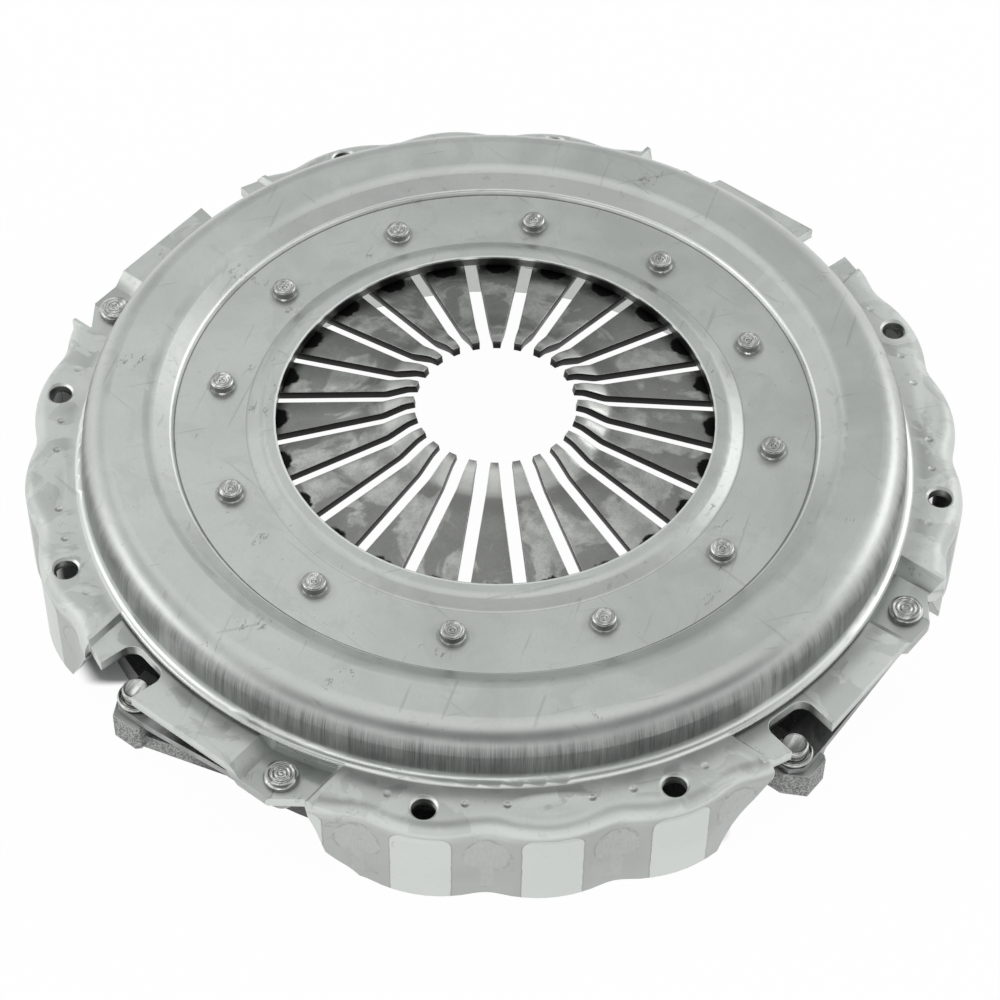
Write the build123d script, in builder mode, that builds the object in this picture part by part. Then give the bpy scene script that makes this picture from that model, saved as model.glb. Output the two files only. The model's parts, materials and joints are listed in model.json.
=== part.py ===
"""Diaphragm-spring clutch pressure plate of a heavy vehicle, as an assembly of its loose pieces.

Millimetres. The origin is on the axis of rotation, in the plane of the skirt's lower edge, which
seats on the flywheel. +Z points along the axis away from the flywheel, towards the gearbox. +X and
+Y point at the middles of two of the skirt's four segments, so the bays lie on the diagonals.
The clutch is shown free, before it is bolted down, so the pressure plate is at its lowest.
"""
from build123d import *
from math import atan, cos, radians, sin, sqrt, tan
import os

os.makedirs("parts", exist_ok=True)

# Cover: height of the flange's upper face, and drops and rises from it
sheet = 5.5
flange_height = 51.4
bridge_drop = 2.4
seat_drop = 8.7
annulus_rise = 18.5
step_rise = 2.0
crest_rise = 8.5
lip_rise = 3.9

# Cover: widths of the rings of its pressed form, from the rim inwards to the bore
rim_radius = 222.1
flange_width = 27.2
wall_draft_run = 2.5
crest_width = 30.4
slope_width = 10.8
step_width = 1.2
annulus_outer_width = 20.55
annulus_inner_width = 14.15
lip_slope_width = 7.0
lip_width = 6.5
shoulder_fillet = 13.0
crest_fillet = 10.0
lip_fillet = 6.5
lip_crease_fillet = 3.0
step_fillet = 0.3
wall_foot_fillet = 4.0

# Cover: scalloped rim, with one bulge every 15 degrees
scallop_depth = 4.1
scallop_pitch = 15.0
hollow_curve_radius = 24.0
brim_fillet = 7.0

# Cover: the eight bolts, two to each segment of the skirt
bolt_hole_radius = 5.5
bolt_wall_gap = 0.1
bolt_rim_width = 1.2
bolt_rim_taper = 45.0
bolt_half_angle = 15.0

# Bays: the four openings in the skirt that hold the drive straps
bay_count = 4
first_bay_angle = 45.0
strap_half_angle = 12.0
strap_rivet_inset = 12.6
chord_margin = 12.1
tongue_margin = 25.0
bay_step_run = 2.0
seat_near_margin = 5.0
seat_ramp_run = 6.5
seat_far_margin = 8.0
seat_rise_run = 5.0
seat_corner_cut = 14.0
seat_relief = 9.8
seat_flank_relief = 5.6
notch_play = 3.9
notch_root_play = 1.2
notch_corner_radius = 6.0

# Bays: the slanted ends of the skirt beside them, as runs along it and drops below the flange
gap_start_run = 23.0
gap_start_knee_run = 2.8
gap_start_knee_drop = 14.4
gap_throat_drop = 10.4
gap_end_run = 19.3
gap_end_foot_run = 6.5
gap_end_foot_drop = 35.4
gap_end_knee_run = 3.0
gap_end_knee_drop = 19.4

# Diaphragm spring
spring_thickness = 4.2
spring_wall_gap = 21.4
cone_angle = 10.6
finger_count = 24
slot_width = 6.4
window_play = 3.5
tip_radius = 37.9
tip_end_run = 4.6
tip_bend_run = 10.0
tip_bend_rise = 5.2
tip_end_rise = 0.9
finger_bend_fillet = 9.0

# Fulcrum: twelve stepped rivets that hold two wire rings
fulcrum_rivet_count = 12
fulcrum_rivet_start = 15.0
fulcrum_shank_radius = 4.0
fulcrum_body_radius = 5.0
fulcrum_head_radius = 5.5
fulcrum_head_height = 4.6
fulcrum_collar_width = 0.6
fulcrum_ring_mark_radius = 3.4
fulcrum_dimple_radius = 1.2
fulcrum_mark_depth = 1.0
fulcrum_foot_overhang = 0.8
fulcrum_foot_height = 3.0
wire_radius = 2.1

# Pressure plate
plate_recess = 1.5
plate_skirt_gap = 18.1
plate_width = 48.5
plate_thickness = 24.0
plate_rim_thickness = 15.5
plate_rim_width = 10.0
plate_bore_bevel = 3.0
ridge_inset = 6.0
ridge_half_width = 4.0
ridge_root_half_width = 6.5
vent_count = 12
vent_width = 16.0
vent_length = 26.0

# Lugs of the pressure plate, in the bays
lug_rise = 22.0
lug_thickness = 14.5
lug_outer_margin = 3.5
lug_near_margin = 1.5
lug_far_margin = 2.0
lug_corner_cut = 6.0
lug_corner_run = 10.5
lug_edge_cut = 2.0
lug_recess_play = 0.5
lug_web_run = 48.0
lug_web_rise = 13.5
lug_web_thickness = 9.0

# Drive straps and their rivets
leaf_thickness = 1.2
leaf_count = 3
leaf_width = 17.0
leaf_bend_fillet = 12.0
leaf_flat_length = 9.5
collar_inset = 0.2
collar_height = 1.5
lug_rivet_head_radius = 6.2
lug_rivet_head_height = 6.4
lug_rivet_foot_radius = 6.5
lug_rivet_foot_height = 3.0
strap_shank_radius = 4.0
cover_rivet_head_radius = 8.0
cover_rivet_head_height = 4.0
cover_rivet_foot_radius = 6.5
cover_rivet_foot_height = 3.0
washer_inset = 0.3
washer_thickness = 2.0
head_edge = 0.7
head_dish = 0.4
ring_mark_count = 3
ring_mark_depth = 0.5

# Clearances
rivet_play = 0.05
wire_play = 0.04
spring_contact_gap = 0.3

# Levels and places that follow from the sizes above
wall_foot_radius = rim_radius - flange_width
wall_top_radius = wall_foot_radius - wall_draft_run
wall_inner_radius = wall_foot_radius - sheet
crest_radius = wall_top_radius - crest_width
step_radius = crest_radius - slope_width
fulcrum_rivet_circle = step_radius - annulus_outer_width
lip_foot_radius = fulcrum_rivet_circle - annulus_inner_width
lip_shoulder_radius = lip_foot_radius - lip_slope_width
bore_radius = lip_shoulder_radius - lip_width
annulus_height = flange_height + annulus_rise
underside_height = annulus_height - sheet
bridge_height = flange_height - bridge_drop
seat_height = flange_height - seat_drop
strap_pack_height = leaf_thickness * leaf_count
cone_slope = tan(radians(cone_angle))
cone_stretch = 1.0 / cos(radians(cone_angle))
fulcrum_ring_radius = fulcrum_rivet_circle + fulcrum_body_radius + wire_radius + wire_play
upper_wire_height = underside_height - wire_radius - wire_play
wire_to_spring = (wire_radius + spring_thickness / 2 + wire_play) * cone_stretch
fulcrum_height = upper_wire_height - wire_to_spring
lower_wire_height = fulcrum_height - wire_to_spring
fulcrum_foot_radius = fulcrum_body_radius + 2 * wire_radius + fulcrum_foot_overhang
window_radius = fulcrum_body_radius + window_play
fulcrum_foot_top = lower_wire_height - wire_radius - wire_play
spring_outer_radius = wall_inner_radius - spring_wall_gap
tip_bend_radius = tip_radius + tip_end_run
finger_bend_radius = tip_bend_radius + tip_bend_run
plate_outer_radius = rim_radius - sheet - plate_skirt_gap
plate_inner_radius = plate_outer_radius - plate_width
plate_bottom = plate_recess
plate_top = plate_bottom + plate_thickness
ridge_radius = spring_outer_radius - ridge_inset
bolt_circle_radius = rim_radius - sheet - bolt_wall_gap - bolt_hole_radius
strap_rivet_radius = rim_radius - strap_rivet_inset
bay_angles = [first_bay_angle + 360.0 / bay_count * index for index in range(bay_count)]
strap_distance = strap_rivet_radius * cos(radians(strap_half_angle))
strap_half_span = strap_rivet_radius * sin(radians(strap_half_angle))
strap_low_height = plate_bottom + lug_rise
strap_high_height = seat_height - sheet - strap_pack_height
collar_radius = leaf_width / 2 - collar_inset
washer_radius = leaf_width / 2 - washer_inset
lug_bottom = strap_low_height - lug_thickness
lug_start = -strap_half_span - leaf_width / 2 - lug_near_margin
lug_end = -strap_half_span + leaf_width / 2 + lug_far_margin
lug_outer_distance = strap_distance + leaf_width / 2 + lug_outer_margin
lug_web_end = lug_end + lug_web_run
lug_web_height = plate_bottom + lug_web_rise
bay_chord = strap_distance + chord_margin
bay_start = -strap_half_span - tongue_margin
seat_start = strap_half_span - cover_rivet_head_radius - seat_near_margin
seat_end = strap_half_span + cover_rivet_head_radius + seat_far_margin
bay_end = seat_end + seat_rise_run
notch_half_width = collar_radius + notch_play
notch_inner_radius = strap_rivet_radius - collar_radius - notch_root_play
notch_length = rim_radius - notch_inner_radius + notch_corner_radius
collar_top = strap_low_height + strap_pack_height + collar_height
washer_bottom = strap_high_height - washer_thickness


def spring_height(radius):
    """Height of the middle of the spring's conical part at a radius."""
    return fulcrum_height + (fulcrum_ring_radius - radius) * cone_slope


def mitred(points, distance):
    """Copy of an open line of straight runs, moved to its right by a distance."""
    directions = []
    for (x0, y0), (x1, y1) in zip(points, points[1:]):
        length = sqrt((x1 - x0) ** 2 + (y1 - y0) ** 2)
        directions.append(((x1 - x0) / length, (y1 - y0) / length))
    moved = []
    for index, (x, y) in enumerate(points):
        before = directions[max(index - 1, 0)]
        after = directions[min(index, len(directions) - 1)]
        share = distance / (1 + before[0] * after[0] + before[1] * after[1])
        moved.append((x + (before[1] + after[1]) * share, y - (before[0] + after[0]) * share))
    return moved


def side_plane(angle):
    """Plane that looks outwards through a bay: X runs anticlockwise round it, Y up, Z outwards."""
    outward = Vector(cos(radians(angle)), sin(radians(angle)), 0)
    return Plane(origin=(0, 0, 0), x_dir=Vector(0, 0, 1).cross(outward), z_dir=outward)


def top_plane(angle, height=0.0):
    """Plane that looks down on a bay: X runs outwards and Y anticlockwise round it."""
    return Plane.XY.rotated((0, 0, angle)).offset(height)


def save(piece, name):
    """Label a finished piece and write it to its own file."""
    piece.part.label = name
    export_step(piece.part, f"parts/{name}.step")


# Cover: section of the dome, from the bore over the crest to the root of the flange
dome_top = [
    (bore_radius, annulus_height + lip_rise),
    (lip_shoulder_radius, annulus_height + lip_rise),
    (lip_foot_radius, annulus_height),
    (step_radius - step_width / 2, annulus_height),
    (step_radius + step_width / 2, annulus_height + step_rise),
    (crest_radius, annulus_height + crest_rise),
    (wall_top_radius, annulus_height + crest_rise),
    (wall_foot_radius, flange_height),
    (wall_foot_radius + sheet, flange_height),
]
dome_underside = mitred(
    [*dome_top[:3], (step_radius - sheet / 2, annulus_height), *dome_top[5:]], sheet
)
dome_top_fillets = [
    lip_fillet,
    lip_crease_fillet,
    step_fillet,
    step_fillet,
    crest_fillet,
    shoulder_fillet,
    wall_foot_fillet,
]
dome_underside_fillets = [
    lip_fillet - sheet,
    lip_crease_fillet + sheet / 2,
    lip_crease_fillet + sheet / 2,
    crest_fillet - sheet,
    shoulder_fillet - sheet,
    wall_foot_fillet + sheet,
]


def rim_line(inset=0.0):
    """Draw the scalloped rim as tangent arcs, bulge and hollow in turn, moved inwards by an inset."""
    half_pitch = radians(scallop_pitch / 2)
    hollow_centre = rim_radius - scallop_depth + hollow_curve_radius
    across = hollow_centre * sin(half_pitch)
    along = hollow_centre * cos(half_pitch)
    # The bulge's radius lets both arcs meet at one tangent
    short_of_rim = rim_radius - along
    bulge_curve_radius = (
        (across**2 + short_of_rim**2 - hollow_curve_radius**2)
        / (2 * (short_of_rim + hollow_curve_radius))
    )
    bulge_centre = rim_radius - bulge_curve_radius
    lean = atan(across / (along - bulge_centre))
    hollow_reach = rim_radius - scallop_depth
    bulge_arc = bulge_curve_radius - inset
    meeting = Vector(bulge_centre + bulge_arc * cos(lean), bulge_arc * sin(lean))
    for index in range(round(360 / scallop_pitch)):
        turn = index * scallop_pitch
        start = Vector(meeting.X, -meeting.Y).rotate(Axis.Z, turn)
        crown = Vector(rim_radius - inset, 0).rotate(Axis.Z, turn)
        middle = meeting.rotate(Axis.Z, turn)
        hollow = Vector(hollow_reach - inset, 0).rotate(Axis.Z, turn + scallop_pitch / 2)
        end = Vector(meeting.X, -meeting.Y).rotate(Axis.Z, turn + scallop_pitch)
        ThreePointArc(start, crown, middle)
        ThreePointArc(middle, hollow, end)


# Bays: the upper face of the sheet in side view, from the tongue over the bridge to the rivet seat
bay_top = [
    (bay_start - bay_step_run, flange_height),
    (bay_start, flange_height),
    (bay_start + bay_step_run, bridge_height),
    (seat_start - seat_ramp_run, bridge_height),
    (seat_start, seat_height),
    (seat_end, seat_height),
    (bay_end, flange_height),
    (bay_end + bay_step_run, flange_height),
]
bay_underside = mitred(bay_top, sheet)

# Bays: outline of what is cut out of the skirt and the flange in side view
gap_outline = [
    (bay_start - gap_start_run, 0),
    (bay_start - gap_start_knee_run, flange_height - gap_start_knee_drop),
    (bay_start, flange_height - gap_throat_drop),
    (bay_start, flange_height),
    (bay_end, flange_height),
    (bay_end, flange_height - gap_throat_drop),
    (bay_end + gap_end_knee_run, flange_height - gap_end_knee_drop),
    (bay_end + gap_end_foot_run, flange_height - gap_end_foot_drop),
    (bay_end + gap_end_run, 0),
]

# Bays: plan of the strip's outer edge, a chord with a cut corner beside the rivet seat
tongue_reach = sqrt(bay_chord**2 - bay_start**2)
relief_reach = bay_chord - seat_relief
flank_reach = bay_chord - seat_flank_relief
bay_outline = [
    (0, bay_start - bay_step_run),
    (tongue_reach, bay_start - bay_step_run),
    (bay_chord, -strap_half_span),
    (bay_chord, seat_end - seat_corner_cut),
    (relief_reach, seat_end - bay_step_run / 2),
    (flank_reach, bay_end),
    (flank_reach, bay_end + bay_step_run),
    (0, bay_end + bay_step_run),
]

with BuildPart() as bay_gap:
    # What the press tool cuts out of the skirt and the flange at one bay, up to the dome's wall
    with BuildSketch(side_plane(0).offset(wall_inner_radius / 2)):
        with BuildLine():
            Polyline(*gap_outline, close=True)
        make_face()
    extrude(amount=rim_radius)
    with BuildSketch():
        Circle(wall_foot_radius)
    extrude(amount=flange_height, mode=Mode.SUBTRACT)

with BuildPart() as bay_wall:
    # Dome wall that reaches down to the bay's lower levels
    with BuildSketch(side_plane(0).offset(wall_inner_radius / 2)):
        with BuildLine():
            Polyline(
                *bay_underside,
                (bay_end + bay_step_run, flange_height),
                (bay_start - bay_step_run, flange_height),
                close=True,
            )
        make_face()
    extrude(amount=rim_radius)
    with BuildSketch():
        Circle(wall_foot_radius)
        Circle(wall_inner_radius, mode=Mode.SUBTRACT)
    extrude(amount=flange_height, mode=Mode.INTERSECT)

with BuildPart() as bay_form:
    # Strip of sheet over one bay: tongue, notch for the lug's rivet, bridge and rivet seat
    with BuildSketch(side_plane(0).offset(wall_inner_radius / 2)):
        with BuildLine():
            Polyline(*bay_top, *reversed(bay_underside), close=True)
        make_face()
    extrude(amount=rim_radius)
    with BuildSketch():
        with BuildLine():
            Polyline(*bay_outline, close=True)
        make_face()
        Circle(wall_inner_radius, mode=Mode.SUBTRACT)
    extrude(amount=flange_height, mode=Mode.INTERSECT)
    with BuildSketch(top_plane(-strap_half_angle)):
        with Locations((notch_inner_radius + notch_length / 2, 0)):
            RectangleRounded(notch_length, notch_half_width * 2, notch_corner_radius)
    extrude(amount=flange_height, mode=Mode.SUBTRACT)
    with Locations((strap_distance, strap_half_span, seat_height)):
        Hole(strap_shank_radius + rivet_play)
    add(bay_wall.part)

with BuildPart() as cover:
    # Rim: a scalloped pot, hollow below the flange
    with BuildSketch():
        with BuildLine():
            rim_line()
        make_face()
    extrude(amount=flange_height)
    fillet(cover.faces().sort_by(Axis.Z)[-1].edges(), radius=brim_fillet)
    with BuildSketch():
        with BuildLine():
            rim_line(inset=sheet)
        make_face()
    extrude(amount=flange_height - sheet, mode=Mode.SUBTRACT)
    with BuildSketch(Plane.XY.offset(flange_height)):
        Circle(wall_inner_radius + sheet / 2)
    extrude(amount=-2 * sheet, mode=Mode.SUBTRACT)
    # Dome
    with BuildSketch(Plane.XZ):
        with BuildLine():
            FilletPolyline(*dome_top, radius=dome_top_fillets)
            FilletPolyline(*dome_underside, radius=dome_underside_fillets)
            Line(dome_top[0], dome_underside[0])
            Line(dome_top[-1], dome_underside[-1])
        make_face()
    revolve(axis=Axis.Z)
    # Bays
    with Locations(*(Rotation(0, 0, angle) for angle in bay_angles)):
        add(bay_gap.part, mode=Mode.SUBTRACT)
        add(bay_form.part)
    # Bolt holes with a broken upper edge, and the holes of the fulcrum rivets
    for start_angle in (-bolt_half_angle, bolt_half_angle):
        with BuildSketch(Plane.XY.offset(flange_height)):
            with PolarLocations(bolt_circle_radius, bay_count, start_angle=start_angle):
                Circle(bolt_hole_radius)
        extrude(amount=-2 * sheet, mode=Mode.SUBTRACT)
        with BuildSketch(Plane.XY.offset(flange_height)):
            with PolarLocations(bolt_circle_radius, bay_count, start_angle=start_angle):
                Circle(bolt_hole_radius + bolt_rim_width)
        extrude(amount=-bolt_rim_width, taper=bolt_rim_taper, mode=Mode.SUBTRACT)
    with BuildSketch(Plane.XY.offset(annulus_height)):
        with PolarLocations(fulcrum_rivet_circle, fulcrum_rivet_count, start_angle=fulcrum_rivet_start):
            Circle(fulcrum_shank_radius + rivet_play)
    extrude(amount=-2 * sheet, mode=Mode.SUBTRACT)
save(cover, "cover")

# Diaphragm spring: middle line of one finger, from the outer edge to the bent tip
finger_line = [
    (spring_outer_radius, spring_height(spring_outer_radius)),
    (finger_bend_radius, spring_height(finger_bend_radius)),
    (tip_bend_radius, spring_height(finger_bend_radius) + tip_bend_rise),
    (tip_radius, spring_height(finger_bend_radius) + tip_bend_rise + tip_end_rise),
]
half_spring = spring_thickness / 2
finger_top = mitred(finger_line, half_spring)
finger_underside = mitred(finger_line, -half_spring)
inner_bend_fillet = finger_bend_fillet - half_spring
outer_bend_fillet = finger_bend_fillet + half_spring

with BuildPart() as diaphragm_spring:
    with BuildSketch(Plane.XZ):
        with BuildLine():
            FilletPolyline(*finger_top, radius=[inner_bend_fillet, outer_bend_fillet])
            FilletPolyline(*finger_underside, radius=[outer_bend_fillet, inner_bend_fillet])
            Line(finger_top[0], finger_underside[0])
            Line(finger_top[-1], finger_underside[-1])
        make_face()
    revolve(axis=Axis.Z)
    with BuildSketch(Plane.XY.offset(plate_top)):
        with PolarLocations(fulcrum_rivet_circle / 2, finger_count):
            Rectangle(fulcrum_rivet_circle, slot_width)
        with PolarLocations(fulcrum_rivet_circle, finger_count):
            Circle(window_radius)
    extrude(amount=flange_height + crest_rise, mode=Mode.SUBTRACT)
save(diaphragm_spring, "diaphragm_spring")

# Fulcrum: wire rings above and below the spring
for name, height in (
    ("upper_fulcrum_ring", upper_wire_height),
    ("lower_fulcrum_ring", lower_wire_height),
):
    with BuildPart() as fulcrum_ring:
        with BuildSketch(Plane.XZ):
            with Locations((fulcrum_ring_radius, height)):
                Circle(wire_radius)
        revolve(axis=Axis.Z)
    save(fulcrum_ring, name)

fulcrum_head_top = annulus_height + fulcrum_head_height

with BuildPart() as fulcrum_rivet:
    # Stepped rivet: head with a ring and a dimple, shank in the cover, body in the window, foot
    with BuildSketch(Plane.XZ):
        with BuildLine():
            Polyline(
                (0, fulcrum_foot_top - fulcrum_foot_height),
                (fulcrum_foot_radius, fulcrum_foot_top - fulcrum_foot_height),
                (fulcrum_foot_radius, fulcrum_foot_top),
                (fulcrum_body_radius, fulcrum_foot_top),
                (fulcrum_body_radius, underside_height),
                (fulcrum_shank_radius, underside_height),
                (fulcrum_shank_radius, annulus_height),
                (fulcrum_head_radius + fulcrum_collar_width, annulus_height),
                (fulcrum_head_radius, annulus_height + fulcrum_collar_width * 2),
                (fulcrum_head_radius, fulcrum_head_top - fulcrum_collar_width),
                (fulcrum_head_radius - fulcrum_collar_width, fulcrum_head_top),
                (fulcrum_ring_mark_radius, fulcrum_head_top),
                (fulcrum_ring_mark_radius - fulcrum_collar_width, fulcrum_head_top - fulcrum_mark_depth),
                (fulcrum_dimple_radius + fulcrum_collar_width, fulcrum_head_top - fulcrum_mark_depth),
                (fulcrum_dimple_radius, fulcrum_head_top - fulcrum_collar_width),
                (0, fulcrum_head_top - fulcrum_mark_depth),
                close=True,
            )
        make_face()
    revolve(axis=Axis.Z)

with BuildPart() as fulcrum_rivets:
    with PolarLocations(fulcrum_rivet_circle, fulcrum_rivet_count, start_angle=fulcrum_rivet_start):
        add(fulcrum_rivet.part)
save(fulcrum_rivets, "fulcrum_rivets")

# Pressure plate: the ridge's crown touches the spring's underside
ridge_crown_height = (
    spring_height(ridge_radius)
    - (spring_thickness / 2 + ridge_half_width + spring_contact_gap) * cone_stretch
)
rim_top = plate_bottom + plate_rim_thickness

with BuildPart() as pressure_plate:
    with BuildSketch(Plane.XZ):
        with BuildLine():
            Polyline(
                (plate_inner_radius, plate_bottom),
                (plate_outer_radius, plate_bottom),
                (plate_outer_radius, rim_top),
                (plate_outer_radius - plate_rim_width, rim_top),
                (plate_outer_radius - plate_rim_width * 2, plate_top),
                (ridge_radius + ridge_root_half_width, plate_top),
                (ridge_radius + ridge_half_width, ridge_crown_height),
            )
            ThreePointArc(
                (ridge_radius + ridge_half_width, ridge_crown_height),
                (ridge_radius, ridge_crown_height + ridge_half_width),
                (ridge_radius - ridge_half_width, ridge_crown_height),
            )
            Polyline(
                (ridge_radius - ridge_half_width, ridge_crown_height),
                (ridge_radius - ridge_root_half_width, plate_top),
                (plate_inner_radius + plate_bore_bevel, plate_top),
                (plate_inner_radius, plate_top - plate_bore_bevel),
                (plate_inner_radius, plate_bottom),
            )
        make_face()
    revolve(axis=Axis.Z)
    # Cooling gaps through the ridge
    with BuildSketch(Plane.XY.offset(plate_top)):
        with PolarLocations(ridge_radius, vent_count):
            Rectangle(vent_length, vent_width)
    extrude(amount=flange_height, mode=Mode.SUBTRACT)
    # Lugs that carry the straps, and the webs that brace them
    for angle in bay_angles:
        with BuildSketch(top_plane(angle, lug_bottom)):
            with BuildLine():
                Polyline(
                    (plate_outer_radius - plate_rim_width, lug_start),
                    (lug_outer_distance - lug_corner_run, lug_start),
                    (lug_outer_distance, lug_start + lug_corner_cut),
                    (lug_outer_distance, lug_end - lug_edge_cut),
                    (lug_outer_distance - lug_edge_cut, lug_end),
                    (plate_outer_radius - plate_rim_width, lug_end),
                    close=True,
                )
            make_face()
        extrude(amount=lug_thickness)
        with BuildSketch(top_plane(angle, lug_web_height - lug_web_thickness)):
            with BuildLine():
                Polyline(
                    (plate_outer_radius - plate_rim_width, lug_end - lug_corner_cut),
                    (lug_outer_distance - lug_outer_margin, lug_end - lug_corner_cut),
                    (sqrt(plate_outer_radius**2 - lug_web_end**2), lug_web_end),
                    (plate_outer_radius - plate_rim_width, lug_web_end),
                    close=True,
                )
            make_face()
        extrude(amount=lug_web_thickness)
        with BuildSketch(top_plane(angle, lug_bottom)):
            with Locations((strap_distance, -strap_half_span)):
                Circle(strap_shank_radius + rivet_play)
        extrude(amount=lug_thickness, mode=Mode.SUBTRACT)
        with BuildSketch(top_plane(angle, lug_bottom)):
            with Locations((strap_distance, -strap_half_span)):
                Circle(lug_rivet_foot_radius + lug_recess_play)
        extrude(amount=lug_rivet_foot_height, mode=Mode.SUBTRACT)
save(pressure_plate, "pressure_plate")

# Drive straps: each pack is a stack of spring-steel leaves, flat at both rivets
leaf_line = [
    (-strap_half_span - leaf_width / 2, strap_low_height),
    (-strap_half_span + leaf_flat_length, strap_low_height),
    (strap_half_span - leaf_flat_length, strap_high_height),
    (strap_half_span + leaf_width / 2, strap_high_height),
]

with BuildPart() as strap_leaf:
    with BuildSketch(side_plane(0).offset(strap_distance - leaf_width / 2)):
        with BuildLine():
            for rise in (0, leaf_thickness):
                FilletPolyline(*((x, y + rise) for x, y in leaf_line), radius=leaf_bend_fillet)
            for x, y in (leaf_line[0], leaf_line[-1]):
                Line((x, y), (x, y + leaf_thickness))
        make_face()
    extrude(amount=leaf_width)
    with BuildSketch():
        with Locations((strap_distance, 0)):
            SlotCenterToCenter(2 * strap_half_span, leaf_width, rotation=90)
        with Locations((strap_distance, strap_half_span), (strap_distance, -strap_half_span)):
            Circle(strap_shank_radius + rivet_play, mode=Mode.SUBTRACT)
    extrude(amount=flange_height, mode=Mode.INTERSECT)

with BuildPart() as lug_rivet:
    # Through the collar, the leaves and the lug, with its foot in the lug's recess
    with BuildSketch(Plane.XZ):
        with BuildLine():
            Polyline(
                (0, lug_bottom),
                (lug_rivet_foot_radius, lug_bottom),
                (lug_rivet_foot_radius, lug_bottom + lug_rivet_foot_height),
                (strap_shank_radius, lug_bottom + lug_rivet_foot_height),
                (strap_shank_radius, collar_top),
                (lug_rivet_head_radius, collar_top),
                (lug_rivet_head_radius, collar_top + lug_rivet_head_height - head_edge),
                (lug_rivet_head_radius - head_edge, collar_top + lug_rivet_head_height),
                (0, collar_top + lug_rivet_head_height - head_dish),
                close=True,
            )
        make_face()
    revolve(axis=Axis.Z)

with BuildPart() as lug_collar:
    with BuildSketch(Plane.XZ):
        with BuildLine():
            Polyline(
                (strap_shank_radius + rivet_play, collar_top - collar_height),
                (collar_radius, collar_top - collar_height),
                (collar_radius, collar_top - head_edge),
                (collar_radius - head_edge, collar_top),
                (strap_shank_radius + rivet_play, collar_top),
                close=True,
            )
        make_face()
    revolve(axis=Axis.Z)

# Strap rivets on the cover: turned rings on the head, from its edge to its middle
ring_mark_pitch = (cover_rivet_head_radius - head_edge) / (ring_mark_count + 1)
cover_rivet_rings = []
for index in range(ring_mark_count + 1):
    crest = cover_rivet_head_radius - head_edge - index * ring_mark_pitch
    cover_rivet_rings.append((crest, seat_height + cover_rivet_head_height))
    if index < ring_mark_count:
        cover_rivet_rings.append(
            (crest - ring_mark_pitch / 2, seat_height + cover_rivet_head_height - ring_mark_depth)
        )

with BuildPart() as cover_rivet:
    # Through the cover's seat, the leaves and the washer; its head has turned rings
    with BuildSketch(Plane.XZ):
        with BuildLine():
            Polyline(
                (0, washer_bottom - cover_rivet_foot_height),
                (cover_rivet_foot_radius, washer_bottom - cover_rivet_foot_height),
                (cover_rivet_foot_radius, washer_bottom),
                (strap_shank_radius, washer_bottom),
                (strap_shank_radius, seat_height),
                (cover_rivet_head_radius, seat_height),
                (cover_rivet_head_radius, seat_height + cover_rivet_head_height - 2 * head_edge),
                *cover_rivet_rings,
                (0, seat_height + cover_rivet_head_height),
                close=True,
            )
        make_face()
    revolve(axis=Axis.Z)

with BuildPart() as strap_washer:
    with BuildSketch(Plane.XY.offset(washer_bottom)):
        Circle(washer_radius)
        Circle(strap_shank_radius + rivet_play, mode=Mode.SUBTRACT)
    extrude(amount=washer_thickness)

for number, angle in enumerate(bay_angles, start=1):
    for layer in range(1, leaf_count + 1):
        with BuildPart() as placed_leaf:
            with Locations(Location((0, 0, (layer - 1) * leaf_thickness), (0, 0, angle))):
                add(strap_leaf.part)
        save(placed_leaf, f"strap_{number}_leaf_{layer}")
    for name, piece, side in (
        ("lug_rivet", lug_rivet, -strap_half_angle),
        ("lug_collar", lug_collar, -strap_half_angle),
        ("cover_rivet", cover_rivet, strap_half_angle),
        ("strap_washer", strap_washer, strap_half_angle),
    ):
        with BuildPart() as placed_piece:
            with PolarLocations(strap_rivet_radius, 1, start_angle=angle + side):
                add(piece.part)
        save(placed_piece, f"{name}_{number}")
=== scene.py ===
"""Dresses the clutch pressure plate: surfaces, spring, straps, rivets, stage and camera."""
import json
import math

import bmesh
import bpy
from bpy.props import FloatProperty, FloatVectorProperty, IntProperty, PointerProperty
from mathutils import Matrix, Vector


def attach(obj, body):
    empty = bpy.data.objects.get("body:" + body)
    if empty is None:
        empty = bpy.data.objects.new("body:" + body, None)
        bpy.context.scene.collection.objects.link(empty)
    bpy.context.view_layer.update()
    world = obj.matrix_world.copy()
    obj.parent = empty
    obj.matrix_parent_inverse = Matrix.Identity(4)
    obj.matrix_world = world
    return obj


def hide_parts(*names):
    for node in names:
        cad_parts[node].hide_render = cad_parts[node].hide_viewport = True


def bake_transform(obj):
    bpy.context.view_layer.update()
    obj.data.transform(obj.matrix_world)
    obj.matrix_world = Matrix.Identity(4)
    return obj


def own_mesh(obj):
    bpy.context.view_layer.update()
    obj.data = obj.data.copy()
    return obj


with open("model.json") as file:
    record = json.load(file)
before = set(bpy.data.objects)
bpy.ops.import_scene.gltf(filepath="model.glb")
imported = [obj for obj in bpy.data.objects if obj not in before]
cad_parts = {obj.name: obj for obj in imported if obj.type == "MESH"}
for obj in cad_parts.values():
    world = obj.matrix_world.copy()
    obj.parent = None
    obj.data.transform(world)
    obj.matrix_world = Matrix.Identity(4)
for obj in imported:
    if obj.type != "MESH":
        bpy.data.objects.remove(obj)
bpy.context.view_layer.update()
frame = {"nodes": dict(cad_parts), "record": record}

bl_info = {
    "name": "Clutch pressure plate",
    "version": (1, 0, 0),
    "blender": (4, 5, 0),
    "location": "3D View > Sidebar > Clutch",
    "description": "Builds the looks of a diaphragm-spring clutch pressure plate on its packed frame",
    "category": "Object",
}

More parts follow.
